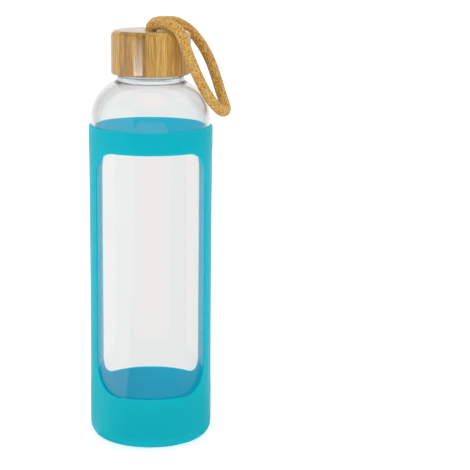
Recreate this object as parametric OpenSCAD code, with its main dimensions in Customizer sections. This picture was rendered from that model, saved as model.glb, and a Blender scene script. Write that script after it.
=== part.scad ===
// Glass water bottle in a windowed silicone sleeve, with a bamboo screw lid and a cord loop.
// Millimetres, +Z up. The origin is on the axis, at the face that the sleeve stands on.
// The front is -Y: the sleeve's windows face -Y and +Y, and the cord hangs towards +X.

/* [Sleeve] */
// Outer diameter of the silicone sleeve
sleeve_d = 70; // [58:1:90]
// Wall of the sleeve, its base included
sleeve_wall = 1.2; // [0.8:0.1:2]
// Radius of the sleeve's outer foot
foot_r = 8; // [6:0.5:12]
// How far the sleeve's rim lies below the start of the shoulder
rim_drop = 4.6; // [2:0.1:20]
// Gap between sleeve and glass
sleeve_gap = 0.2; // [0.1:0.05:0.5]

/* [Sleeve windows] */
// Height of the band under the windows
low_band = 30; // [20:1:45]
// Height of the band over the windows
top_band = 12.5; // [8:0.5:25]
// Half of the angle that a window takes up
window_half_angle = 61.5; // [35:0.5:70]
// Radius of a window's upper corners, measured along the surface
window_top_r = 15; // [6:0.5:18]
// Radius of the front window's lower corners, measured along the surface
window_low_r = 18; // [6:0.5:19]
// Radius of the back window's lower corners, measured along the surface
window_back_low_r = 12; // [6:0.5:19]

/* [Glass] */
// Height of the glass from its foot to the start of its shoulder
body_h = 184.8; // [130:0.1:240]
// Wall of the glass body
glass_wall = 2; // [1.5:0.1:3]
// Thickness of the glass floor at its edge
glass_floor = 3.4; // [3:0.1:6]
// Height of the hollow under the floor
punt_h = 1.5; // [0.5:0.1:2]
// Radius of the shoulder's outer arc
shoulder_r = 22; // [12:0.5:24]
// Outer diameter of the neck under the thread
neck_d = 35.2; // [29:0.2:43]
// Wall of the neck
neck_wall = 2; // [1.5:0.1:3]
// Plain neck between the bead and the thread
neck_plain_low = 1.8; // [1:0.1:4]
// Plain neck between the thread and the rim
neck_plain_top = 1.5; // [1:0.1:4]
// How far the bead at the root of the neck stands out
bead_out = 1.4; // [0.8:0.1:3]

/* [Screw thread] */
// Axial distance from one ridge to the next
thread_pitch = 4; // [3.3:0.1:4.8]
// Number of separate ridges
thread_starts = 2; // [1:1:2]
// Angle that each ridge runs round the neck
thread_sweep = 210; // [120:10:240]
// Height of a ridge over its wall
thread_depth = 1.2; // [0.8:0.1:1.5]
// Gap between the lid's thread and the neck's
thread_gap = 0.3; // [0.2:0.05:0.5]

/* [Lid] */
// Wall of the bamboo cap round the liner
lid_wall = 2; // [1.5:0.1:5]
// Thickness of the bamboo over the hollow for the knots
lid_top = 4.5; // [3.5:0.1:8]
// Radius of the cap's upper edge
lid_top_r = 3.3; // [1:0.1:4]
// Radius of the cap's lower edge
lid_low_r = 1; // [0.4:0.1:1.5]
// Gap between the cap and the bead under it
lid_gap = 0.8; // [0.3:0.1:2]
// Wall of the plastic liner
liner_wall = 1.1; // [0.8:0.1:2]
// Thickness of the liner's top
liner_top = 1.3; // [1:0.1:2]
// Glue gap between the liner and the bamboo
glue_gap = 0.1; // [0.05:0.05:0.2]
// How far the liner stops above the cap's lower edge
liner_up = 0.5; // [0.2:0.1:1]
// Thickness of the seal ring
seal_t = 1.5; // [1:0.1:2]
// Gap above and below the seal ring
seal_gap = 0.1; // [0.05:0.05:0.2]

/* [Strap] */
// Diameter of the cord
strap_d = 6; // [4:0.1:7]
// Distance between the two cord holes
hole_pitch = 9; // [8:0.1:12]
// Gap between the cord and its hole, all round
hole_gap = 0.3; // [0.1:0.05:0.6]
// Width of a stopper knot
knot_d = 11.6; // [9:0.1:14]
// Height of a stopper knot
knot_h = 7.1; // [5:0.1:9]
// Gap between the knots, and over and under them
knot_gap = 0.3; // [0.2:0.05:0.6]

/* [Hidden] */
$fn = 96;
// Overshoot of a cut past the face it opens
past = 1;
// How far a thread's root lies inside its own wall
root_in = 0.5;
// Axial widths of a thread ridge at its wall and at its crest
ridge_root_w = 2.1;
ridge_crest_w = 0.9;
// Angle over which a ridge runs in and out, and the step along it
ridge_fade = 30;
ridge_step = 10;
// Plain wall of the liner under its thread
liner_plain_low = 0.2;
// How far the seal reaches inside the mouth
seal_overlap = 0.8;
// Radius of the bead's section
bead_section_r = 1.2;
// Width of the ring that the glass stands on, inside its foot
stand_w = 4;
// Largest rounding of a knot's edges
knot_round = 2.5;

// Sleeve and glass, from the foot up
sleeve_r = sleeve_d / 2;
sleeve_bore_r = sleeve_r - sleeve_wall;
glass_r = sleeve_bore_r - sleeve_gap;
glass_z = sleeve_wall + sleeve_gap;
glass_foot_r = foot_r - sleeve_wall - sleeve_gap;
shoulder_z = glass_z + body_h;
sleeve_top_z = shoulder_z - rim_drop;
window_top_z = sleeve_top_z - top_band;
window_h = window_top_z - low_band;
window_half_w = sleeve_r * window_half_angle * PI / 180;

// Shoulder arc and neck
shoulder_x = glass_r - shoulder_r;
neck_r = neck_d / 2;
mouth_r = neck_r - neck_wall;
arc_rise = neck_r > shoulder_x ? sqrt(pow(shoulder_r, 2) - pow(neck_r - shoulder_x, 2)) : shoulder_r;
neck_z = shoulder_z + arc_rise;
bead_x = neck_r + bead_out - bead_section_r;
bead_z = neck_z + bead_section_r;
bead_top_z = bead_z + bead_section_r;

// Thread on the neck, from the bead up to the rim
thread_lead = thread_pitch * thread_starts;
thread_rise = thread_lead * thread_sweep / 360;
neck_crest_r = neck_r + thread_depth;
neck_thread_z = bead_top_z + neck_plain_low + ridge_root_w / 2;
rim_z = neck_thread_z + thread_rise + ridge_root_w / 2 + neck_plain_top;

// Lid, from the thread outwards and from the bead up
liner_bore_r = neck_crest_r + thread_gap;
liner_crest_r = liner_bore_r - thread_depth;
liner_r = liner_bore_r + liner_wall;
cap_bore_r = liner_r + glue_gap;
lid_r = cap_bore_r + lid_wall;
lid_z = bead_top_z + lid_gap;
liner_z = lid_z + liner_up;
seal_z = rim_z + seal_gap;
liner_roof_z = seal_z + seal_t + seal_gap;
liner_top_z = liner_roof_z + liner_top;
hollow_top_z = liner_top_z + knot_h + 2 * knot_gap;
lid_top_z = hollow_top_z + lid_top;
lid_h = lid_top_z - lid_z;
seal_r = liner_bore_r - thread_gap;
seal_hole_r = mouth_r - seal_overlap;
// The liner's ridges lie half a pitch from the neck's, and start at the angle where they clear its lower edge
liner_thread_z = neck_thread_z - thread_pitch / 2;
liner_thread_from = 360 * (liner_z + ridge_root_w / 2 + liner_plain_low - liner_thread_z) / thread_lead;

// Strap
strap_r = strap_d / 2;
hole_r = strap_r + hole_gap;
hole_y = hole_pitch / 2;
knot_top_z = hollow_top_z - knot_gap;
knot_y = (knot_d + knot_gap) / 2;
knot_edge_r = min(knot_round, knot_h * 0.4);
strap_sides = 12;
// Route of the cord's middle line from the first knot to the second, from the centre of the lid's top
strap_route = [
    [0, -4.5, -4.8], [0, -4.5, -2.4], [0, -4.5, -0.2], [0.5, -5, 1.8], [2.1, -6.4, 3.3],
    [4.6, -8.6, 3.8], [7.6, -11.3, 3.8], [10.4, -14, 3.6], [12.9, -16.6, 3], [15.2, -18.9, 1.1],
    [17.6, -20.3, -3.4], [19.9, -20.5, -9.8], [22.8, -19.7, -17], [26.1, -18.4, -24.4],
    [30, -16.4, -31.9], [34.1, -13.4, -38.5], [38, -9, -43.2], [40.9, -3.6, -45.3], [42.3, 0.8, -44.3],
    [41.6, 4.4, -41.2], [39.7, 7.6, -35.6], [37.2, 10.4, -27.6], [34, 13.2, -18.8], [30.1, 15.4, -11.2],
    [25.8, 16.9, -5.2], [21.4, 17.5, -0.8], [16.8, 16.7, 2.1], [14.6, 15.8, 3.1], [12.2, 14.4, 3.6],
    [8, 11.2, 4], [4.7, 8.4, 3.9], [2.1, 6.3, 3.3], [0.5, 5, 1.8], [0, 4.5, -0.2], [0, 4.5, -2.4],
    [0, 4.5, -4.8],
];

// Half section of a round body with a rounded foot, from z0 up to z1
module footed_outline(r, z0, z1, foot) {
    translate([0, z0 + foot]) square([r, z1 - z0 - foot]);
    translate([0, z0]) square([r - foot, z1 - z0]);
    translate([r - foot, z0 + foot]) circle(r = foot);
}

// Half section of the glass as a solid: body, shoulder arc and neck up to top_z
module bottle_outline(r, z0, foot, arc_r, tube_r, top_z) {
    intersection() {
        union() {
            footed_outline(r, z0, shoulder_z, foot);
            translate([shoulder_x, shoulder_z]) circle(r = arc_r);
            translate([0, shoulder_z - past]) square([max(shoulder_x, past), arc_r + past]);
            translate([0, shoulder_z]) square([tube_r, top_z - shoulder_z]);
        }
        square([r, top_z]);
    }
}

// Half of a window's width along the surface at a height over its lower edge
function corner_loss(depth, r) = depth >= r ? 0 : r - sqrt(r * r - pow(r - depth, 2));
function window_reach(h, low_r) =
    window_half_w - corner_loss(h, low_r) - corner_loss(window_h - h, window_top_r);

// Wedge that cuts one window towards -Y, as flat slices stacked from its lower edge to its upper
module window_cutter(low_r) {
    corner_steps = 8;
    inner = sleeve_r * 0.4;
    outer = sleeve_r * 3;
    low = [for (i = [0 : corner_steps]) low_r * (1 - cos(90 * i / corner_steps))];
    high = [for (i = [corner_steps : -1 : 0]) window_h - window_top_r * (1 - cos(90 * i / corner_steps))];
    levels = concat(low, high);
    slices = [
        for (h = levels) let (a = window_reach(h, low_r) / sleeve_r * 180 / PI)
            for (p = [[inner, -a], [outer, -a], [outer, a], [inner, a]])
                [p[0] * sin(p[1]), -p[0] * cos(p[1]), low_band + h]
    ];
    last = 4 * (len(levels) - 1);
    sides = [
        for (i = [0 : len(levels) - 2], k = [0 : 3])
            let (a = 4 * i + k, b = 4 * i + (k + 1) % 4)
                for (f = [[a, a + 4, b + 4], [a, b + 4, b]]) f
    ];
    ends = [[0, 1, 2], [0, 2, 3], [last + 2, last + 1, last], [last + 3, last + 2, last]];
    polyhedron(points = slices, faces = concat(sides, ends));
}

// One ridge of a thread: it stands out from wall_r to crest_r, and its middle is at z0 at angle 0
module ridge(wall_r, crest_r, z0, from, sweep) {
    into = sign(wall_r - crest_r) * root_in;
    steps = ceil(sweep / ridge_step);
    rings = [
        for (i = [0 : steps])
            let (
                a = from + sweep * i / steps,
                full = min(1, sweep * i / steps / ridge_fade, sweep * (1 - i / steps) / ridge_fade),
                z = z0 + thread_lead * a / 360,
                crest = wall_r + into * 0.5 + (crest_r - wall_r - into * 0.5) * full
            )
            for (p = [
                [wall_r + into, -ridge_root_w / 2], [crest, -ridge_crest_w / 2],
                [crest, ridge_crest_w / 2], [wall_r + into, ridge_root_w / 2]
            ]) [p[0] * cos(a), p[0] * sin(a), z + p[1]]
    ];
    last = 4 * steps;
    sides = [
        for (i = [0 : steps - 1], k = [0 : 3])
            let (a = 4 * i + k, b = 4 * i + (k + 1) % 4)
                for (f = [[a, a + 4, b + 4], [a, b + 4, b]]) f
    ];
    caps = [[0, 1, 2], [0, 2, 3], [last + 2, last + 1, last], [last + 3, last + 2, last]];
    inside_out = wall_r < crest_r;
    faces = [for (f = concat(sides, caps)) inside_out ? [f[2], f[1], f[0]] : f];
    polyhedron(points = rings, faces = faces);
}

// Directions used by the tube's sweep
function unit(v) = v / norm(v);
function heading(path, i) = unit(path[min(i + 1, len(path) - 1)] - path[max(i - 1, 0)]);
function side_at(path, i) =
    i == 0 ? [1, 0, 0]
    : let (t = heading(path, i), s = side_at(path, i - 1)) unit(s - (s * t) * t);

// Tube with flat ends, swept along a path
module swept_tube(path, r, sides) {
    rings = [
        for (i = [0 : len(path) - 1])
            let (t = heading(path, i), s = side_at(path, i), u = cross(t, s))
                for (k = [0 : sides - 1]) path[i] + r * (cos(360 * k / sides) * s + sin(360 * k / sides) * u)
    ];
    last = sides * (len(path) - 1);
    skin = [
        for (i = [0 : len(path) - 2], k = [0 : sides - 1])
            let (a = sides * i + k, b = sides * i + (k + 1) % sides)
                for (f = [[a, a + sides, b + sides], [a, b + sides, b]]) f
    ];
    first_cap = [for (k = [0 : sides - 1]) k];
    last_cap = [for (k = [sides - 1 : -1 : 0]) last + k];
    polyhedron(points = rings, faces = concat(skin, [first_cap, last_cap]));
}

// Silicone sleeve: a cup with a window at the front and one at the back
module sleeve() {
    color([0, 0.68, 0.77]) difference() {
        rotate_extrude() difference() {
            footed_outline(sleeve_r, 0, sleeve_top_z, foot_r);
            footed_outline(sleeve_bore_r, sleeve_wall, sleeve_top_z + past, foot_r - sleeve_wall);
        }
        window_cutter(window_low_r);
        rotate(180) window_cutter(window_back_low_r);
    }
}

// Glass bottle: one blown wall with a bead and two thread ridges on the neck
module glass_body() {
    punt_w = glass_r - glass_foot_r - stand_w;
    punt_r = (punt_w * punt_w + punt_h * punt_h) / (2 * punt_h);
    color([0.85, 0.92, 0.92, 0.4]) {
        rotate_extrude() difference() {
            union() {
                bottle_outline(glass_r, glass_z, glass_foot_r, shoulder_r, neck_r, rim_z);
                translate([bead_x, bead_z]) circle(r = bead_section_r);
            }
            bottle_outline(
                glass_r - glass_wall, glass_z + glass_floor, glass_foot_r - glass_wall,
                shoulder_r - glass_wall, mouth_r, rim_z + past
            );
            intersection() {
                translate([0, glass_z + punt_h - punt_r]) circle(r = punt_r, $fn = 360);
                square([glass_r, glass_z + glass_floor]);
            }
        }
        for (k = [0 : thread_starts - 1]) rotate(360 * k / thread_starts)
            ridge(neck_r, neck_crest_r, neck_thread_z, 0, thread_sweep);
    }
}

// Bamboo cap: a turned cup with two cord holes in its top
module lid_cap() {
    color([0.8, 0.62, 0.36]) difference() {
        rotate_extrude() difference() {
            union() {
                translate([0, lid_z + lid_low_r]) square([lid_r, lid_h - lid_low_r - lid_top_r]);
                translate([0, lid_z]) square([lid_r - lid_low_r, lid_h - lid_top_r]);
                translate([0, lid_z + lid_low_r]) square([lid_r - lid_top_r, lid_h - lid_low_r]);
                translate([lid_r - lid_low_r, lid_z + lid_low_r]) circle(r = lid_low_r);
                translate([lid_r - lid_top_r, lid_top_z - lid_top_r]) circle(r = lid_top_r);
            }
            translate([0, lid_z - past]) square([cap_bore_r, hollow_top_z - lid_z + past]);
        }
        for (side = [-1, 1]) translate([0, side * hole_y, hollow_top_z - past])
            cylinder(r = hole_r, h = lid_top + 2 * past);
    }
}

// Plastic liner: the threaded cup inside the bamboo
module lid_liner() {
    color([0.93, 0.93, 0.9]) {
        rotate_extrude() difference() {
            translate([0, liner_z]) square([liner_r, liner_top_z - liner_z]);
            translate([0, liner_z - past]) square([liner_bore_r, liner_roof_z - liner_z + past]);
        }
        for (k = [0 : thread_starts - 1]) rotate(360 * k / thread_starts)
            ridge(liner_bore_r, liner_crest_r, liner_thread_z, liner_thread_from, thread_sweep);
    }
}

// Flat silicone ring that the rim of the glass presses on
module seal_ring() {
    color([0.95, 0.95, 0.95]) rotate_extrude()
        translate([seal_hole_r, seal_z]) square([seal_r - seal_hole_r, seal_t]);
}

// Cord loop, from one knot up through the lid, over its edge and back
module strap_cord() {
    color([0.78, 0.58, 0.25]) translate([0, 0, lid_top_z]) swept_tube(strap_route, strap_r, strap_sides);
}

// Two stopper knots in the hollow between bamboo and liner
module strap_knots() {
    color([0.72, 0.52, 0.22]) for (side = [-1, 1]) translate([0, side * knot_y, knot_top_z - knot_h])
        rotate_extrude() {
            translate([0, knot_edge_r]) square([knot_d / 2, knot_h - 2 * knot_edge_r]);
            square([knot_d / 2 - knot_edge_r, knot_h]);
            for (z = [knot_edge_r, knot_h - knot_edge_r]) translate([knot_d / 2 - knot_edge_r, z])
                circle(r = knot_edge_r);
        }
}

sleeve();
glass_body();
lid_cap();
lid_liner();
seal_ring();
strap_cord();
strap_knots();
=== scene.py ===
import math

import bmesh
import bpy
from mathutils import Matrix, Vector


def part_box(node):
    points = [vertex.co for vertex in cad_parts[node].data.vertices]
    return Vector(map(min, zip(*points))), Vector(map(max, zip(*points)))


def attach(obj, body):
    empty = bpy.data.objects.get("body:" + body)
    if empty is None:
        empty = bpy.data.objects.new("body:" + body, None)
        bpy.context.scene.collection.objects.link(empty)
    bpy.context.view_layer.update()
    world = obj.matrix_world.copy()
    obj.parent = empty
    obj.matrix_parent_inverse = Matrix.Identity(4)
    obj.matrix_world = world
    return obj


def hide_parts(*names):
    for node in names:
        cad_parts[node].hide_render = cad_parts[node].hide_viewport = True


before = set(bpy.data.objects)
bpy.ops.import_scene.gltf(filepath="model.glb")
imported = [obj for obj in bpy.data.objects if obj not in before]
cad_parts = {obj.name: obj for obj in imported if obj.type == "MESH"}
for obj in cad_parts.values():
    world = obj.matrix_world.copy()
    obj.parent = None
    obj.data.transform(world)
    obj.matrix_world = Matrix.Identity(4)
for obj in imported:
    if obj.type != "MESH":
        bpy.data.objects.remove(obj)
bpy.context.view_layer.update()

MM = 0.001


# Camera. A long lens at about arm's length, slightly above the lid and looking down, turned a little
# to the right so that the bottle stands in the left third of the picture.
camera_distance = 918 * MM
camera_height = 312 * MM
look_down, look_right, roll = math.radians(11.92), math.radians(3.01), math.radians(0.59)
lens = bpy.data.cameras.new("camera")
lens.sensor_width = 36
lens.lens = 125.3
camera = bpy.data.objects.new("camera", lens)
camera.matrix_world = (
    Matrix.Translation((0, -camera_distance, camera_height))
    @ Matrix.Rotation(-look_right, 4, "Z")
    @ Matrix.Rotation(math.radians(90) - look_down, 4, "X")
    @ Matrix.Rotation(roll, 4, "Z")
)
bpy.context.scene.collection.objects.link(camera)
bpy.context.scene.camera = camera


# Carrying loop. A round braided polyester cord, tan with a brown fleck yarn, soft and a little springy.
# Its two ends go down through the lid's holes; the loop lies over the lid's edge and hangs by the shoulder.
cord_d = 6 * MM
cord_route_mm = [
    (0, -4.5, -4.8), (0, -4.5, -2.4), (0, -4.5, -0.2), (0.5, -5, 1.8), (2.1, -6.4, 3.3),
    (4.6, -8.6, 3.8), (7.6, -11.3, 3.8), (10.4, -14, 3.6), (12.9, -16.6, 3), (15.2, -18.9, 1.1),
    (17.6, -20.3, -3.4), (19.9, -20.5, -9.8), (22.8, -19.7, -17), (26.1, -18.4, -24.4),
    (30, -16.4, -31.9), (34.1, -13.4, -38.5), (38, -9, -43.2), (40.9, -3.6, -45.3),
    (42.3, 0.8, -44.3), (41.6, 4.4, -41.2), (39.7, 7.6, -35.6), (37.2, 10.4, -27.6),
    (34, 13.2, -18.8), (30.1, 15.4, -11.2), (25.8, 16.9, -5.2), (21.4, 17.5, -0.8),
    (16.8, 16.7, 2.1), (14.6, 15.8, 3.1), (12.2, 14.4, 3.6), (8, 11.2, 4), (4.7, 8.4, 3.9),
    (2.1, 6.3, 3.3), (0.5, 5, 1.8), (0, 4.5, -0.2), (0, 4.5, -2.4), (0, 4.5, -4.8),
]
lid_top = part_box("lid_cap")[1].z
cord_route = [Vector(p) * MM + Vector((0, 0, lid_top)) for p in cord_route_mm]


def smooth_line(points, per_span):
    """Points of a Catmull-Rom curve through the given ones."""
    ends = [2 * points[0] - points[1], *points, 2 * points[-1] - points[-2]]
    line = []
    for a, b, c, d in zip(ends, ends[1:], ends[2:], ends[3:]):
        for step in range(per_span):
            t = step / per_span
            line.append(
                (2 * b + (c - a) * t + (2 * a - 5 * b + 4 * c - d) * t**2
                 + (3 * b - a - 3 * c + d) * t**3) / 2
            )
    return [*line, points[-1]]


def evenly(line, count):
    """The line again as count + 1 points at equal distances, and its length."""
    reach = [0.0]
    for a, b in zip(line, line[1:]):
        reach.append(reach[-1] + (b - a).length)
    found, k = [], 0
    for i in range(count + 1):
        wanted = reach[-1] * i / count
        while k < len(line) - 2 and reach[k + 1] < wanted:
            k += 1
        found.append(line[k].lerp(line[k + 1], (wanted - reach[k]) / (reach[k + 1] - reach[k])))
    return found, reach[-1]


def braid_height(around, along, strands):
    """Height from 0 to 1 of a tubular braid: two crossing families of strands that go over and under."""
    a, b = around * strands + along, around * strands - along
    across_a, across_b = math.sin(math.pi * (a % 1)), math.sin(math.pi * (b % 1))
    over = 0.5 + 0.5 * math.cos(math.pi * (b - 0.5)) * (1 if math.floor(a) % 2 else -1)
    under = 0.5 + 0.5 * math.cos(math.pi * (a - 0.5)) * (1 if math.floor(b) % 2 == 0 else -1)
    return max(across_a**0.6 * (0.35 + 0.65 * over), across_b**0.6 * (0.35 + 0.65 * under))


def braided_tube(name, line, length, diameter, strands, cell, depth, sides):
    """A closed tube along the line, its skin raised by the braid. UV u goes round it, v counts its cells."""
    rings = len(line) - 1
    cells = 2 * round(length / cell / 2)
    bm = bmesh.new()
    uv = bm.loops.layers.uv.new("braid")
    bmesh.ops.create_grid(bm, x_segments=sides, y_segments=rings, size=0.5, calc_uvs=True)
    frames = []
    side = Vector((1, 0, 0))
    for i in range(rings + 1):
        ahead = (line[min(i + 1, rings)] - line[max(i - 1, 0)]).normalized()
        side = (side - side.dot(ahead) * ahead).normalized()
        frames.append((line[i], side.copy(), ahead.cross(side)))
    for v in bm.verts:
        around, along = v.co.x + 0.5, v.co.y + 0.5
        centre, s, t = frames[round(along * rings)]
        radius = diameter / 2 - depth * (1 - braid_height(around, along * cells, strands))
        angle = 2 * math.pi * around
        v.co = centre + radius * (math.cos(angle) * s + math.sin(angle) * t)
    for face in bm.faces:
        for loop in face.loops:
            loop[uv].uv.y *= cells
    bmesh.ops.remove_doubles(bm, verts=bm.verts, dist=diameter * 1e-4)
    bmesh.ops.holes_fill(bm, edges=[e for e in bm.edges if e.is_boundary], sides=0)
    bmesh.ops.recalc_face_normals(bm, faces=bm.faces)
    return finished(name, bm)


def finished(name, bm, sharp_over=None):
    """The bmesh as a smooth-shaded object at the origin, with edges over the given angle kept sharp."""
    mesh = bpy.data.meshes.new(name)
    bm.to_mesh(mesh)
    bm.free()
    mesh.shade_smooth()
    if sharp_over:
        mesh.set_sharp_from_angle(angle=math.radians(sharp_over))
    piece = bpy.data.objects.new(name, mesh)
    bpy.context.scene.collection.objects.link(piece)
    return piece


def add(tree, kind, inputs=(), **settings):
    """A new node. inputs maps a socket's name or number to its value, or to the output that feeds it."""
    made = tree.nodes.new(kind)
    for key, value in settings.items():
        setattr(made, key, value)
    for key, value in dict(inputs).items():
        if isinstance(value, bpy.types.NodeSocket):
            tree.links.new(value, made.inputs[key])
        else:
            made.inputs[key].default_value = value
    return made


def sums(tree, operation, *values):
    """Output of a Math node."""
    return add(tree, "ShaderNodeMath", enumerate(values), operation=operation).outputs[0]


def blend_colours(tree, factor, a, b, blend_type="MIX"):
    """Output of a Mix node for colours."""
    made = add(tree, "ShaderNodeMix", data_type="RGBA", blend_type=blend_type)
    for socket, value in ((0, factor), (6, a), (7, b)):
        if isinstance(value, bpy.types.NodeSocket):
            tree.links.new(value, made.inputs[socket])
        else:
            made.inputs[socket].default_value = value
    return made.outputs[2]


def ramp(tree, value, *stops):
    """Output of a Color Ramp. A stop is (position, colour)."""
    made = add(tree, "ShaderNodeValToRGB", {0: value})
    elements = made.color_ramp.elements
    while len(elements) < len(stops):
        elements.new(0.5)
    for element, (position, colour) in zip(elements, stops):
        element.position = position
        element.color = colour
    return made.outputs[0]


def grey(level):
    return (level, level, level, 1)


def new_material(name, **plain):
    """A material, its tree and its Principled BSDF, whose sockets hold the plain values given."""
    made = bpy.data.materials.new(name)
    made.use_nodes = True
    shader = made.node_tree.nodes["Principled BSDF"]
    for key, value in plain.items():
        shader.inputs[key.replace("_", " ")].default_value = value
    return made, made.node_tree, shader


def new_group(name, inputs, outputs):
    """A shader node group. inputs maps a name to its default; outputs maps a name to its socket type."""
    tree = bpy.data.node_groups.new(name, "ShaderNodeTree")
    for key, value in inputs.items():
        size = len(value) if hasattr(value, "__len__") else 1
        kind = {4: "NodeSocketColor", 3: "NodeSocketVector"}.get(size, "NodeSocketFloat")
        socket = tree.interface.new_socket(key, in_out="INPUT", socket_type=kind)
        socket.default_value = value
    for key, kind in outputs.items():
        tree.interface.new_socket(key, in_out="OUTPUT", socket_type=kind)
    return tree, tree.nodes.new("NodeGroupInput"), tree.nodes.new("NodeGroupOutput")


# The yarn's look is shared by the loop and its knots: filaments along each strand, a painted highlight on
# each strand's crown, painted shade in the gaps between strands, and a fleck where a brown strand comes up.
braid_look, taken, given = new_group(
    "braid_look",
    {"Strands": 20.0, "Yarn": (0.5, 0.3, 0.1, 1), "Fleck": (0.2, 0.08, 0.02, 1), "Flecks": 0.15},
    {"Color": "NodeSocketColor", "Roughness": "NodeSocketFloat", "Height": "NodeSocketFloat"},
)
braid_uv = add(braid_look, "ShaderNodeUVMap", uv_map="braid").outputs[0]
split_uv = add(braid_look, "ShaderNodeSeparateXYZ", {0: braid_uv}).outputs
turns = sums(braid_look, "MULTIPLY", split_uv[0], taken.outputs["Strands"])
strand_a = sums(braid_look, "ADD", turns, split_uv[1])
strand_b = sums(braid_look, "SUBTRACT", turns, split_uv[1])
index_a, index_b = sums(braid_look, "FLOOR", strand_a), sums(braid_look, "FLOOR", strand_b)
parity = sums(braid_look, "FLOORED_MODULO", sums(braid_look, "ADD", index_a, index_b), 2.0)
across = add(
    braid_look, "ShaderNodeMix",
    {0: parity, 2: sums(braid_look, "FRACT", strand_a), 3: sums(braid_look, "FRACT", strand_b)},
).outputs[0]
lengthways = add(
    braid_look, "ShaderNodeMix",
    {0: parity, 2: sums(braid_look, "FRACT", strand_b), 3: sums(braid_look, "FRACT", strand_a)},
).outputs[0]
crown = sums(braid_look, "SINE", sums(braid_look, "MULTIPLY", across, math.pi))
crest = sums(braid_look, "SINE", sums(braid_look, "MULTIPLY", lengthways, math.pi))
domed = sums(braid_look, "MULTIPLY", crown, crest)
filaments = sums(braid_look, "SINE", sums(braid_look, "MULTIPLY", across, 40.0))
cell_seed = add(braid_look, "ShaderNodeCombineXYZ", {0: index_a, 1: index_b}).outputs[0]
cell_random = add(braid_look, "ShaderNodeTexWhiteNoise", {0: cell_seed}, noise_dimensions="2D").outputs[0]
fleck_mask = sums(braid_look, "LESS_THAN", cell_random, taken.outputs["Flecks"])
# Painted light and shade: the yarn's colour is lightened on the strands' crowns and darkened in the gaps
# between them.
painted_crown_light_gap_shade = ramp(braid_look, domed, (0, grey(0.66)), (0.3, grey(0.88)), (1, grey(1.08)))
yarn = blend_colours(braid_look, fleck_mask, taken.outputs["Yarn"], taken.outputs["Fleck"])
tone_shift = sums(braid_look, "MULTIPLY_ADD", cell_random, 0.35, 0.82)
shifted = blend_colours(braid_look, 1.0, yarn, tone_shift, "MULTIPLY")
braid_look.links.new(blend_colours(braid_look, 1.0, shifted, painted_crown_light_gap_shade, "MULTIPLY"), given.inputs["Color"])
braid_look.links.new(sums(braid_look, "MULTIPLY_ADD", domed, -0.15, 0.85), given.inputs["Roughness"])
braid_look.links.new(sums(braid_look, "MULTIPLY_ADD", filaments, 0.12, domed), given.inputs["Height"])


def cord_material(name, flecks):
    made, tree, shader = new_material(name, Specular_IOR_Level=0.25, Sheen_Weight=0.25, Sheen_Roughness=0.4)
    look = add(tree, "ShaderNodeGroup", node_tree=braid_look)
    look.inputs["Yarn"].default_value = (0.74, 0.47, 0.135, 1)
    look.inputs["Fleck"].default_value = (0.64, 0.27, 0.04, 1)
    look.inputs["Flecks"].default_value = flecks
    weave = look.outputs["Height"]
    bump = add(tree, "ShaderNodeBump", {"Strength": 0.5, "Distance": 0.3 * MM, "Height": weave})
    tree.links.new(look.outputs["Color"], shader.inputs["Base Color"])
    tree.links.new(look.outputs["Roughness"], shader.inputs["Roughness"])
    tree.links.new(bump.outputs[0], shader.inputs["Normal"])
    return made


cord_line, cord_length = evenly(smooth_line(cord_route, 12), 860)
loop = braided_tube("carrying_loop", cord_line, cord_length, cord_d, 20, 0.95 * MM, 0.16 * MM, 100)
loop.data.materials.append(cord_material("braided_cord", 0.38))
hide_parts("strap_cord")
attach(loop, "lid")


# Stopper knots. The cord's two ends are each tied in a tight overhand knot in the hollow over the liner,
# too big to be drawn back up through the holes.
knots_low, knots_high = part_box("strap_knots")
knot_r = knots_high.x
knot_cord_d, knot_scale, knot_rise = 3.5 * MM, 1.3 * MM, 1.7 * MM
knot_entry_y, knot_steps = 4.5 * MM, 36
knot_yarn = cord_material("knot_yarn", 0.38)
for name, side in (("stopper_knot_front", -1), ("stopper_knot_back", 1)):
    knot_centre = Vector((0, side * (knots_high.y - knot_r), (knots_low.z + knots_high.z) / 2))
    overhand = [
        Vector((0, side * knot_entry_y, knots_high.z)),
        knot_centre + Vector((0, -side * MM, knot_rise)),
    ]
    for step in range(1, knot_steps):
        turn = math.tau * step / knot_steps
        across = math.sin(turn) + 2 * math.sin(2 * turn)
        away = math.cos(turn) - 2 * math.cos(2 * turn)
        bend = Vector((side * across * knot_scale, side * away * knot_scale, -math.sin(3 * turn) * knot_rise))
        overhand.append(knot_centre + bend)
    knot_line, knot_length = evenly(smooth_line(overhand, 8), 240)
    knot = braided_tube(name, knot_line, knot_length, knot_cord_d, 14, 0.95 * MM, 0.16 * MM, 56)
    knot.data.materials.append(knot_yarn)
    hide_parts("strap_knots")
    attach(knot, "lid")


# Silicone sleeve. One moulded piece: closed foot, lower band, two posts and a top band round two windows.
# It is stretched over the glass and held only by its grip; the cut edges are slightly rounded.
sleeve_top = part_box("sleeve")[1].z
sleeve_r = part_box("sleeve")[1].x
sleeve_wall, post_pull = 1.2 * MM, 0.35 * MM
sleeve_foot = 8 * MM
window_low, window_high = 30 * MM, sleeve_top - 12.5 * MM
window_turn = math.radians(61.5)
window_half = sleeve_r * window_turn
window_low_r, window_back_low_r, window_top_r = 18 * MM, 12 * MM, 15 * MM
seam_low, seam_high = window_low + window_low_r, window_high - window_top_r


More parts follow.
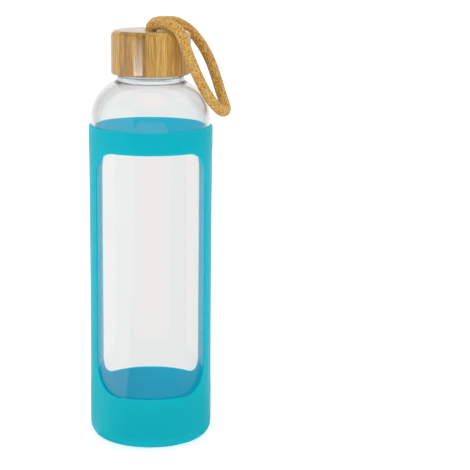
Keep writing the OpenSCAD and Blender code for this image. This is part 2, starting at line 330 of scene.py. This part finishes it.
def panel_edge(p, low_r):
    """Where the window outline's point p lands on the edge of the half sleeve's flat panel."""
    low = p.z < (window_low + window_high) / 2
    radius = low_r if low else window_top_r
    low_z, high_z = window_low + low_r, window_high - window_top_r
    middle = Vector((window_half - radius, 0, low_z if low else high_z))
    ahead = abs(p.x) - middle.x
    upward = (middle.z - p.z) if low else (p.z - middle.z)
    end_z = sleeve_foot if low else sleeve_top
    seam_z = seam_low if low else seam_high
    side_x = math.pi * sleeve_r / 2
    if upward <= 0:
        share = (p.z - low_z) / (high_z - low_z)
        return Vector((math.copysign(side_x, p.x), 0, seam_low + (seam_high - seam_low) * share))
    if ahead <= 0:
        return Vector((p.x, 0, end_z))
    if ahead <= upward:
        x = middle.x + (side_x - middle.x) * ahead / upward
        return Vector((math.copysign(x, p.x), 0, end_z))
    return Vector((math.copysign(side_x, p.x), 0, seam_z + (end_z - seam_z) * upward / ahead))


def half_sleeve(low_r):
    """The outer face of half the sleeve above its foot, round a window with that lower corner radius."""
    half = bmesh.new()
    corners = [
        half.verts.new((side * window_half, 0, z))
        for side, z in ((-1, window_low), (1, window_low), (1, window_high), (-1, window_high))
    ]
    half.faces.new(corners)
    for pair, radius in ((corners[:2], low_r), (corners[2:], window_top_r)):
        bmesh.ops.bevel(
            half, geom=pair, offset=radius, offset_type="OFFSET", affect="VERTICES",
            segments=24, profile=0.5, material=-1,
        )
    straight = [e for e in half.edges if e.calc_length() > 20 * MM]
    bmesh.ops.subdivide_edges(half, edges=straight, cuts=23)
    bmesh.ops.delete(half, geom=half.faces[:], context="FACES_ONLY")
    window_edges = half.edges[:]
    panel = bmesh.ops.extrude_edge_only(half, edges=window_edges)
    for v in [g for g in panel["geom"] if isinstance(g, bmesh.types.BMVert)]:
        v.co = panel_edge(v.co, low_r)
    spokes = [e for e in half.edges if len(e.link_faces) == 2]
    bmesh.ops.subdivide_edges(half, edges=spokes, cuts=11, use_grid_fill=True)
    for v in half.verts:
        turn = v.co.x / sleeve_r
        height = (v.co.z - window_low) / (window_high - window_low)
        post = max(0.0, abs(turn) - window_turn) / (math.pi / 2 - window_turn)
        pulled_in = post_pull * post * max(0.0, math.sin(math.pi * min(1.0, max(0.0, height)))) ** 0.3
        radius = sleeve_r - pulled_in
        v.co = (radius * math.sin(turn), -radius * math.cos(turn), v.co.z)
    return half


sheet, back_half = half_sleeve(window_low_r), half_sleeve(window_back_low_r)
bmesh.ops.rotate(back_half, cent=(0, 0, 0), matrix=Matrix.Rotation(math.pi, 3, "Z"), verts=back_half.verts)
back_mesh = bpy.data.meshes.new("back_half")
back_half.to_mesh(back_mesh)
sheet.from_mesh(back_mesh)
back_half.free()
bpy.data.meshes.remove(back_mesh)
bmesh.ops.remove_doubles(sheet, verts=sheet.verts, dist=0.02 * MM)
foot_steps = 10
rim = [
    e for e in sheet.edges
    if e.is_boundary and all(abs(v.co.z - sleeve_foot) < 0.01 * MM for v in e.verts)
]
foot_outline = [
    (
        sleeve_r - sleeve_foot + sleeve_foot * math.cos(math.radians(90) * step / foot_steps),
        sleeve_foot - sleeve_foot * math.sin(math.radians(90) * step / foot_steps),
    )
    for step in range(1, foot_steps + 1)
]
base_outline = [(24 * MM, 0), (23.6 * MM, 0.4 * MM), (14 * MM, 0.4 * MM), (4 * MM, 0.4 * MM)]
for radius, z in foot_outline + base_outline:
    made = bmesh.ops.extrude_edge_only(sheet, edges=rim)["geom"]
    rim = [g for g in made if isinstance(g, bmesh.types.BMEdge)]
    for v in [g for g in made if isinstance(g, bmesh.types.BMVert)]:
        flat = Vector((v.co.x, v.co.y, 0)).normalized() * radius
        v.co = (flat.x, flat.y, z)
bmesh.ops.edgeloop_fill(sheet, edges=rim)
bmesh.ops.recalc_face_normals(sheet, faces=sheet.faces)
sleeve = finished("silicone_sleeve", sheet, sharp_over=50)
thick = sleeve.modifiers.new("wall", "SOLIDIFY")
thick.thickness = sleeve_wall
thick.offset = -1
thick.use_even_offset = True
rounded = sleeve.modifiers.new("edges", "BEVEL")
rounded.width = 0.4 * MM
rounded.segments = 3
rounded.limit_method = "ANGLE"
rounded.angle_limit = math.radians(50)
rounded.harden_normals = True

# Moulded rubber and plastic share one effect: faint mottling of the colour and the fine skin of the tool.
moulded, taken, given = new_group(
    "moulded_skin",
    {"Color": (0.5, 0.5, 0.5, 1), "Mottle": 0.06, "Roughness": 0.5, "Grain": 1.0},
    {"Color": "NodeSocketColor", "Roughness": "NodeSocketFloat", "Height": "NodeSocketFloat"},
)
place = add(moulded, "ShaderNodeTexCoord").outputs["Object"]
clouds = add(moulded, "ShaderNodeTexNoise", {"Vector": place, "Scale": 60.0, "Detail": 3.0}).outputs[0]
grain = add(moulded, "ShaderNodeTexNoise", {"Vector": place, "Scale": 2600.0, "Detail": 2.0}).outputs[0]
shade = sums(moulded, "MULTIPLY_ADD", sums(moulded, "SUBTRACT", clouds, 0.5), taken.outputs["Mottle"], 1.0)
moulded.links.new(
    blend_colours(moulded, 1.0, taken.outputs["Color"], shade, "MULTIPLY"), given.inputs["Color"]
)
centred = sums(moulded, "SUBTRACT", clouds, 0.5)
rough = sums(moulded, "MULTIPLY_ADD", centred, 0.12, taken.outputs["Roughness"])
moulded.links.new(rough, given.inputs["Roughness"])
moulded.links.new(sums(moulded, "MULTIPLY", grain, taken.outputs["Grain"]), given.inputs["Height"])


def moulded_material(name, colour, roughness, mottle, bump_depth, **plain):
    made, tree, shader = new_material(name, **plain)
    look = add(tree, "ShaderNodeGroup", node_tree=moulded)
    look.inputs["Color"].default_value = colour
    look.inputs["Roughness"].default_value = roughness
    look.inputs["Mottle"].default_value = mottle
    skin = look.outputs["Height"]
    bump = add(tree, "ShaderNodeBump", {"Strength": 0.35, "Distance": bump_depth, "Height": skin})
    tree.links.new(look.outputs["Color"], shader.inputs["Base Color"])
    tree.links.new(look.outputs["Roughness"], shader.inputs["Roughness"])
    tree.links.new(bump.outputs[0], shader.inputs["Normal"])
    return made


sleeve.data.materials.append(
    moulded_material(
        "cyan_silicone", (0.0, 0.395, 0.505, 1), 0.38, 0.1, 0.02 * MM, Specular_IOR_Level=0.12,
        Subsurface_Weight=0.8, Subsurface_Radius=(0.03, 0.9, 1.35), Subsurface_Scale=8 * MM,
    )
)
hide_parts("sleeve")
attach(sleeve, "sleeve")


# Glass bottle. Blown and pressed clear borosilicate in one piece: domed floor, straight wall, round
# shoulder, a smooth collar at the root of the neck and two thread ridges; its rim is fire polished.
glass_low, glass_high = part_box("glass_body")
glass_r = glass_high.x
glass_wall, glass_floor, glass_foot = 2 * MM, 3.4 * MM, 6.6 * MM
collar_fillet, collar_edge = 1.6 * MM, 0.5 * MM
punt = 1.5 * MM
shoulder_r = 22 * MM
shoulder_x = glass_r - shoulder_r
shoulder_z = 186.2 * MM
neck_r, neck_wall = 17.6 * MM, 2 * MM
bead_z, bead_r = shoulder_z + 22.37 * MM, 1.2 * MM
rim_r = 0.9 * MM
band_r = 18.75 * MM


def arc(centre_x, centre_z, radius, start, end, steps):
    """Points of an arc in the XZ plane, its angles in degrees from +X towards +Z."""
    angles = [math.radians(start + (end - start) * i / steps) for i in range(steps + 1)]
    return [(centre_x + radius * math.cos(a), centre_z + radius * math.sin(a)) for a in angles]


def rise(x, low, high, steps):
    """Points up or down a straight wall, without its ends."""
    return [(x, low + (high - low) * i / steps) for i in range(1, steps)]


def turned(outline, steps):
    """A bmesh spun from the outline about the Z axis."""
    bm = bmesh.new()
    chain = [bm.verts.new((x, 0, z)) for x, z in outline]
    edges = [bm.edges.new(pair) for pair in zip(chain, chain[1:])]
    bmesh.ops.spin(
        bm, geom=chain + edges, angle=math.tau, steps=steps, axis=(0, 0, 1), cent=(0, 0, 0), use_merge=True
    )
    bmesh.ops.remove_doubles(bm, verts=bm.verts, dist=0.005 * MM)
    bmesh.ops.recalc_face_normals(bm, faces=bm.faces)
    return bm


neck_low = shoulder_z + math.sqrt(shoulder_r**2 - (band_r - shoulder_x) ** 2)
meet = math.degrees(math.asin((neck_low - shoulder_z) / shoulder_r))
inner_r, inner_arc = glass_r - glass_wall, shoulder_r - glass_wall
mouth_r = neck_r - neck_wall
inner_meet = math.degrees(math.acos((band_r - glass_wall - shoulder_x) / inner_arc))
foot_x = glass_r - glass_foot
punt_w = foot_x - 4 * MM
floor_z = glass_low.z + glass_floor
outline = [(punt_w * i / 8, glass_low.z + punt * (1 - (i / 8) ** 2)) for i in range(9)]
outline += arc(foot_x, glass_low.z + glass_foot, glass_foot, -90, 0, 14)
outline += rise(glass_r, glass_low.z + glass_foot, shoulder_z, 24)
outline += arc(shoulder_x, shoulder_z, shoulder_r, 0, meet - 4, 28)
outline += arc(band_r + collar_fillet, neck_low + 1.3 * MM, collar_fillet, 225, 180, 8)
outline += arc(band_r - collar_edge, bead_z + bead_r - collar_edge, collar_edge, 0, 80, 5)
outline += rise(neck_r, bead_z + 1.4 * MM, glass_high.z - rim_r, 36)
outline += arc(neck_r - rim_r, glass_high.z - rim_r, rim_r, 0, 90, 5)
outline += arc(mouth_r + rim_r, glass_high.z - rim_r, rim_r, 90, 180, 5)
outline += rise(mouth_r, glass_high.z - rim_r, bead_z + bead_r + 1 * MM, 8)
outline += arc(band_r - glass_wall - 0.6 * MM, bead_z, 0.6 * MM, 90, 0, 5)
outline += arc(shoulder_x, shoulder_z, inner_arc, inner_meet, 0, 28)
outline += rise(inner_r, shoulder_z, floor_z + glass_foot - glass_wall, 24)
outline += arc(foot_x, floor_z + glass_foot - glass_wall, glass_foot - glass_wall, 0, -90, 12)
outline += [(foot_x * i / 8, floor_z + 0.6 * MM * (1 - (i / 8) ** 2)) for i in range(7, -1, -1)]
bottle = turned(outline, 192)

thread_lead, thread_sweep, thread_depth = 8 * MM, math.radians(210), 1.2 * MM
thread_low = bead_z + bead_r + 1.8 * MM + 1.05 * MM
crest_w, root_w = 0.9 * MM, 2.1 * MM


def ridge_height(angle, z, low_z, from_angle, starts=2):
    """How far the thread stands out of its wall at an angle and a height."""
    most = 0.0
    for k in range(starts):
        for lap in range(-1, 3):
            along = angle - math.tau * k / starts + math.tau * lap
            if not from_angle <= along <= from_angle + thread_sweep:
                continue
            off = abs(z - low_z - thread_lead * along / math.tau)
            section = min(1.0, max(0.0, (root_w - 2 * off) / (root_w - crest_w)))
            fade = min(1.0, (along - from_angle) / 0.5, (from_angle + thread_sweep - along) / 0.5)
            most = max(most, thread_depth * section * fade)
    return most


for v in bottle.verts:
    radius = math.hypot(v.co.x, v.co.y)
    if abs(radius - neck_r) < 0.05 * MM and v.co.z > bead_z + bead_r:
        out = 1 + ridge_height(math.atan2(v.co.y, v.co.x) % math.tau, v.co.z, thread_low, 0.0) / radius
        v.co.x *= out
        v.co.y *= out
glass = finished("glass_bottle", bottle)

clear_glass, tree, shader = new_material(
    "clear_glass", Base_Color=(0.995, 0.99, 0.98, 1), Roughness=0.0, IOR=1.47, Transmission_Weight=1.0
)
place = add(tree, "ShaderNodeTexCoord").outputs["Object"]
stretched = add(tree, "ShaderNodeMapping", {"Vector": place, "Scale": (1, 1, 0.25)}).outputs[0]
waves = add(tree, "ShaderNodeTexNoise", {"Vector": stretched, "Scale": 45.0, "Detail": 1.0}).outputs[0]
bump = add(tree, "ShaderNodeBump", {"Strength": 0.25, "Distance": 0.1 * MM, "Height": waves})
tree.links.new(bump.outputs[0], shader.inputs["Normal"])
light_path = add(tree, "ShaderNodeLightPath").outputs
lets_light = sums(tree, "SUBTRACT", 1.0, sums(tree, "MULTIPLY", light_path["Is Shadow Ray"], 0.98))
tree.links.new(lets_light, shader.inputs["Alpha"])
# Painted shade: on the shoulder the glass's colour greys towards its silhouette, standing in for the darker
# look of real glass at its edges.
height = add(tree, "ShaderNodeSeparateXYZ", {0: place}).outputs[2]
on_shoulder = ramp(tree, sums(tree, "MULTIPLY", height, 4.0), (0.73, grey(0)), (0.76, grey(1)))
facing = add(tree, "ShaderNodeLayerWeight", {"Blend": 0.5}).outputs["Facing"]
to_rim = ramp(tree, facing, (0.36, grey(0)), (0.7, grey(1)))
painted_rim_shade = sums(tree, "MULTIPLY", on_shoulder, to_rim)
glass_colour_with_rim_shade = blend_colours(tree, painted_rim_shade, (0.992, 0.987, 0.982, 1), (0.70, 0.69, 0.68, 1))
tree.links.new(glass_colour_with_rim_shade, shader.inputs["Base Color"])
glass.data.materials.append(clear_glass)
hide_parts("glass_body")
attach(glass, "bottle")


# Lid cap. Turned from a block of laminated bamboo, its grain upright, bored out from below and given two
# cord holes; its edges are rounded by hand and it is finished with satin lacquer.
cap_low, cap_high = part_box("lid_cap")
cap_r = cap_high.x
cap_bore_r = 20.3 * MM
cap_top, cap_round, cap_foot_round = 4.5 * MM, 3.3 * MM, 1.0 * MM
hole_r, hole_y, hole_round = 3.3 * MM, 4.5 * MM, 0.45 * MM
hollow_z = cap_high.z - cap_top
cap_outline = [(cap_bore_r - 0.4 * MM, hollow_z)]
cap_outline += rise(cap_bore_r, hollow_z, cap_low.z + 0.5 * MM, 10)
cap_outline += arc(cap_bore_r + 0.5 * MM, cap_low.z + 0.5 * MM, 0.5 * MM, 180, 270, 4)
cap_outline += arc(cap_r - cap_foot_round, cap_low.z + cap_foot_round, cap_foot_round, -90, 0, 6)
cap_outline += rise(cap_r, cap_low.z + cap_foot_round, cap_high.z - cap_round, 12)
cap_outline += arc(cap_r - cap_round, cap_high.z - cap_round, cap_round, 0, 90, 12)
cap = turned(cap_outline, 160)


def edges_at(bm, z):
    """Boundary edges that lie at a height."""
    return [e for e in bm.edges if e.is_boundary and all(abs(v.co.z - z) < 0.01 * MM for v in e.verts)]


for side in (-1, 1):
    ring = bmesh.ops.create_circle(
        cap, segments=48, radius=hole_r + hole_round,
        matrix=Matrix.Translation((0, side * hole_y, cap_high.z)),
    )["verts"]
    loop_edges = list({e for v in ring for e in v.link_edges})
    for step in range(1, 6):
        turn = math.radians(90) * step / 5
        radius = hole_r + hole_round * (1 - math.sin(turn))
        drop = hole_round * (1 - math.cos(turn))
        made = bmesh.ops.extrude_edge_only(cap, edges=loop_edges)["geom"]
        loop_edges = [g for g in made if isinstance(g, bmesh.types.BMEdge)]
        for v in [g for g in made if isinstance(g, bmesh.types.BMVert)]:
            out = Vector((v.co.x, v.co.y - side * hole_y, 0)).normalized() * radius
            v.co = (out.x, side * hole_y + out.y, cap_high.z - drop)
    made = bmesh.ops.extrude_edge_only(cap, edges=loop_edges)["geom"]
    for v in [g for g in made if isinstance(g, bmesh.types.BMVert)]:
        v.co.z = hollow_z
for height in (cap_high.z, hollow_z):
    bmesh.ops.triangle_fill(cap, edges=edges_at(cap, height), use_beauty=True)
bmesh.ops.recalc_face_normals(cap, faces=cap.faces)
lid = finished("bamboo_cap", cap, sharp_over=40)

bamboo, tree, shader = new_material("bamboo", Specular_IOR_Level=0.25, Coat_Weight=0.9, Coat_Roughness=0.14)
place = add(tree, "ShaderNodeTexCoord").outputs["Object"]
in_mm = add(
    tree, "ShaderNodeMapping", {"Vector": place, "Scale": (1000, 1000, 1000), "Rotation": (0, 0, 0.35)}
).outputs[0]
parts = add(tree, "ShaderNodeSeparateXYZ", {0: in_mm}).outputs
wander = add(tree, "ShaderNodeTexNoise", {"Vector": in_mm, "Scale": 0.08, "Detail": 1.0}).outputs[0]
strip_x = sums(tree, "DIVIDE", sums(tree, "MULTIPLY_ADD", wander, 1.2, parts[0]), 5.4)
strip_y = sums(tree, "DIVIDE", parts[1], 17.0)
strip = sums(tree, "FLOOR", strip_x)
layer = sums(tree, "FLOOR", sums(tree, "MULTIPLY_ADD", strip, 0.37, strip_y))
seed = add(tree, "ShaderNodeCombineXYZ", {0: strip, 1: layer}).outputs[0]
tone = add(tree, "ShaderNodeTexWhiteNoise", {0: seed}, noise_dimensions="2D").outputs[0]
upright = add(tree, "ShaderNodeMapping", {"Vector": in_mm, "Scale": (1, 1, 0.035)}).outputs[0]
shift = add(tree, "ShaderNodeCombineXYZ", {2: sums(tree, "MULTIPLY", tone, 40.0)}).outputs[0]
shifted_grain = add(tree, "ShaderNodeVectorMath", {0: upright, 1: shift}).outputs[0]
fibres = add(
    tree, "ShaderNodeTexNoise", {"Vector": shifted_grain, "Scale": 2.6, "Detail": 4.0, "Roughness": 0.65}
).outputs[0]
streaks = add(tree, "ShaderNodeTexNoise", {"Vector": shifted_grain, "Scale": 0.7, "Detail": 2.0}).outputs[0]
joint = sums(tree, "ABSOLUTE", sums(tree, "SUBTRACT", sums(tree, "FRACT", strip_x), 0.5))
glue = ramp(tree, joint, (0.468, grey(1)), (0.495, grey(0.72)))
mixed = sums(tree, "MULTIPLY_ADD", sums(tree, "SUBTRACT", streaks, 0.5), 1.5, tone)
body_colour = ramp(
    tree, sums(tree, "MULTIPLY_ADD", mixed, 0.75, 0.12),
    (0.0, (0.27, 0.13, 0.020, 1)), (0.5, (0.49, 0.265, 0.050, 1)), (1.0, (0.72, 0.44, 0.125, 1)),
)
fibre_tone = ramp(tree, fibres, (0.36, grey(0.42)), (0.5, grey(0.95)), (0.66, grey(1.2)))
fibred = blend_colours(tree, 0.8, body_colour, fibre_tone, "MULTIPLY")
tree.links.new(blend_colours(tree, 0.8, fibred, glue, "MULTIPLY"), shader.inputs["Base Color"])
tree.links.new(sums(tree, "MULTIPLY_ADD", fibres, -0.25, 0.58), shader.inputs["Roughness"])
bump = add(tree, "ShaderNodeBump", {"Strength": 0.4, "Distance": 0.05 * MM, "Height": fibres})
tree.links.new(bump.outputs[0], shader.inputs["Normal"])
lid.data.materials.append(bamboo)
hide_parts("lid_cap")
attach(lid, "lid")


# Liner. A moulded polypropylene cup with an inside thread, glued into the bamboo so that drink never
# touches the wood.
liner_low, liner_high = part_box("lid_liner")
liner_r, liner_bore = liner_high.x, 19.1 * MM
liner_roof = liner_high.z - 1.3 * MM
liner_outline = [(liner_bore * i / 10, liner_roof) for i in range(10)]
liner_outline += rise(liner_bore, liner_roof + 0.01 * MM, liner_low.z + 0.3 * MM, 34)
liner_outline += arc(liner_bore + 0.3 * MM, liner_low.z + 0.3 * MM, 0.3 * MM, 180, 270, 3)
liner_outline += arc(liner_r - 0.3 * MM, liner_low.z + 0.3 * MM, 0.3 * MM, -90, 0, 3)
liner_outline += rise(liner_r, liner_low.z + 0.3 * MM, liner_high.z - 0.4 * MM, 8)
liner_outline += arc(liner_r - 0.4 * MM, liner_high.z - 0.4 * MM, 0.4 * MM, 0, 90, 4)
liner_outline += [(liner_r * i / 10, liner_high.z) for i in range(9, -1, -1)]
cup = turned(liner_outline, 160)
liner_thread_low = thread_low - 2 * MM
liner_from = math.tau * (liner_low.z + 1.05 * MM + 0.2 * MM - liner_thread_low) / thread_lead
for v in cup.verts:
    radius = math.hypot(v.co.x, v.co.y)
    if abs(radius - liner_bore) < 0.05 * MM and v.co.z < liner_roof - 0.3 * MM:
        around = math.atan2(v.co.y, v.co.x) % math.tau
        into = 1 - ridge_height(around, v.co.z, liner_thread_low, liner_from) / radius
        v.co.x *= into
        v.co.y *= into
liner = finished("threaded_liner", cup, sharp_over=50)
liner.data.materials.append(
    moulded_material(
        "white_polypropylene", (0.80, 0.79, 0.75, 1), 0.38, 0.05, 0.01 * MM, Specular_IOR_Level=0.45
    )
)
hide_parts("lid_liner")
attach(liner, "lid")


# Seal. A flat ring punched from soft clear silicone that lies in the liner's roof; the rim of the glass
# presses a groove into it.
seal_low, seal_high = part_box("seal_ring")
seal_r, seal_hole = seal_high.x, 14.8 * MM
seal_edge = 0.35 * MM
seal_outline = arc(seal_hole + seal_edge, seal_high.z - seal_edge, seal_edge, 90, 180, 4)
seal_outline += arc(seal_hole + seal_edge, seal_low.z + seal_edge, seal_edge, 180, 270, 4)
seal_outline += arc(neck_r - 1 * MM, seal_low.z - 2.84 * MM, 3 * MM, 105, 75, 6)
seal_outline += arc(seal_r - seal_edge, seal_low.z + seal_edge, seal_edge, -90, 0, 4)
seal_outline += arc(seal_r - seal_edge, seal_high.z - seal_edge, seal_edge, 0, 90, 4)
seal = finished("seal_ring_silicone", turned([*seal_outline, seal_outline[0]], 128), sharp_over=50)
seal.data.materials.append(
    moulded_material(
        "clear_silicone", (0.82, 0.83, 0.82, 1), 0.45, 0.05, 0.01 * MM,
        Specular_IOR_Level=0.35, Subsurface_Weight=0.3, Subsurface_Scale=0.002,
    )
)
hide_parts("seal_ring")
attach(seal, "seal")


# Studio: a white table, a white room and three soft lights that only shade. What polished faces mirror
# depends on the compass direction: dark in front, a broad light at the left, white behind. It evens out
# higher up. One more small light reaches the lid alone and puts the highlight on it.
mirrored_room, taken, given = new_group(
    "mirrored_room",
    {"Direction": (0.0, 1.0, 0.0), "Height": 0.0},
    {"Mirrored": "NodeSocketFloat", "Through": "NodeSocketFloat"},
)
split = add(mirrored_room, "ShaderNodeSeparateXYZ", {0: taken.outputs["Direction"]}).outputs
compass = sums(mirrored_room, "ARCTAN2", split[0], sums(mirrored_room, "MULTIPLY", split[1], -1.0))
share = sums(mirrored_room, "MULTIPLY_ADD", compass, 1 / math.tau, 0.5)
low_down = ramp(
    mirrored_room, share,
    (0.0, grey(0.96)), (0.06, grey(0.96)), (0.13, grey(0.6)), (0.185, grey(0.4)), (0.195, grey(1.15)),
    (0.405, grey(1.15)), (0.412, grey(0.04)), (0.618, grey(0.03)), (0.624, grey(0.12)), (0.80, grey(0.2)),
    (0.82, grey(0.4)), (0.87, grey(0.6)), (0.94, grey(0.96)), (1.0, grey(0.96)),
)
high_up = ramp(mirrored_room, taken.outputs["Height"], (0.35, grey(0)), (0.65, grey(1)))
by_height = blend_colours(mirrored_room, high_up, low_down, grey(0.35))
mirrored_room.links.new(by_height, given.inputs["Mirrored"])
through = ramp(
    mirrored_room, share,
    (0.0, grey(0.905)), (0.05, grey(0.93)), (0.12, grey(0.78)), (0.5, grey(0.7)), (0.88, grey(0.78)),
    (0.95, grey(0.93)), (1.0, grey(0.905)),
)
mirrored_room.links.new(through, given.inputs["Through"])

table = bmesh.new()
bmesh.ops.create_grid(table, x_segments=1, y_segments=1, size=1)
bmesh.ops.scale(table, vec=(2.5, 2.5, 1), verts=table.verts)
bmesh.ops.translate(table, vec=(0, 1.2, 0), verts=table.verts)
floor = finished("floor", table)
white, tree, shader = new_material("white_floor", Roughness=0.9)
shader.inputs["Specular IOR Level"].default_value = 0.0
shader.inputs["Emission Color"].default_value = (1, 1, 1, 1)
# Directions on the floor count from the bottle's side, not from its middle.
spot = add(tree, "ShaderNodeSeparateXYZ", {0: add(tree, "ShaderNodeTexCoord").outputs["Object"]}).outputs
beside = sums(tree, "SUBTRACT", spot[0], sums(tree, "MINIMUM", sums(tree, "MAXIMUM", spot[0], -0.03), 0.03))
floor_room = add(tree, "ShaderNodeGroup", node_tree=mirrored_room)
from_side = add(tree, "ShaderNodeCombineXYZ", {0: beside, 1: spot[1]}).outputs[0]
tree.links.new(from_side, floor_room.inputs["Direction"])
light_path = add(tree, "ShaderNodeLightPath").outputs
unscattered = sums(tree, "LESS_THAN", light_path["Diffuse Depth"], 0.5)
polished = sums(tree, "MULTIPLY", light_path["Is Glossy Ray"], unscattered)
floor_seen = add(
    tree, "ShaderNodeMix",
    {
        0: light_path["Is Transmission Ray"],
        2: floor_room.outputs["Mirrored"],
        3: floor_room.outputs["Through"],
    },
).outputs[0]
glow = add(tree, "ShaderNodeMix", {0: polished, 2: 0.7, 3: floor_seen}).outputs[0]
tree.links.new(glow, shader.inputs["Emission Strength"])
tree.links.new(blend_colours(tree, polished, grey(0.5), grey(0.0)), shader.inputs["Base Color"])
floor.data.materials.append(white)


def softbox(name, azimuth, distance, height, width, tall, radiance):
    """A rectangular soft light round the bottle that faces it. Azimuth 0 is the front and 90 the right."""
    lamp = bpy.data.lights.new(name, "AREA")
    lamp.shape = "RECTANGLE"
    lamp.size, lamp.size_y = width, tall
    lamp.energy = radiance * math.pi * width * tall
    box = bpy.data.objects.new(name, lamp)
    turn = math.radians(azimuth)
    place = Vector((distance * math.sin(turn), -distance * math.cos(turn), height))
    box.location = place
    box.rotation_euler = (Vector((0, 0, 0.12)) - place).to_track_quat("-Z", "Y").to_euler()
    bpy.context.scene.collection.objects.link(box)
    return box


for lamp in (
    softbox("key_softbox", -25, 1.3, 0.5, 0.9, 0.8, 1.35),
    softbox("right_softbox", 60, 1.5, 0.5, 0.9, 0.8, 0.6),
    softbox("top_softbox", 175, 0.6, 1.4, 1.4, 1.4, 1.8),
):
    lamp.visible_glossy = False
    lamp.visible_transmission = False
lid_light = softbox("lid_highlight", -36, 0.5, 0.12, 0.25, 0.10, 11.0)
lid_light.visible_diffuse = False
lid_light.visible_transmission = False
lit_by_it = bpy.data.collections.new("lit_by_lid_highlight")
lit_by_it.objects.link(lid)
lid_light.light_linking.receiver_collection = lit_by_it

world = bpy.data.worlds.new("studio")
world.use_nodes = True
bpy.context.scene.world = world
tree = world.node_tree
background = tree.nodes["Background"]
light_path = add(tree, "ShaderNodeLightPath").outputs
towards = add(tree, "ShaderNodeTexCoord").outputs["Generated"]
sky_room = add(tree, "ShaderNodeGroup", node_tree=mirrored_room)
tree.links.new(towards, sky_room.inputs["Direction"])
tree.links.new(add(tree, "ShaderNodeSeparateXYZ", {0: towards}).outputs[2], sky_room.inputs["Height"])
bounced = sums(tree, "GREATER_THAN", light_path["Diffuse Depth"], 0.5)
sky_seen = add(
    tree, "ShaderNodeMix",
    {0: light_path["Is Transmission Ray"], 2: sky_room.outputs["Mirrored"], 3: sky_room.outputs["Through"]},
).outputs[0]
lit = blend_colours(tree, bounced, sky_seen, grey(0.75))
tree.links.new(blend_colours(tree, light_path["Is Camera Ray"], lit, grey(1.0)), background.inputs["Color"])
bpy.context.scene.view_settings.view_transform = "Standard"
# Light that runs along inside the thick glass at the collar is followed to its end.
bpy.context.scene.cycles.max_bounces = 24
bpy.context.scene.cycles.glossy_bounces = 16
bpy.context.scene.cycles.transmission_bounces = 24
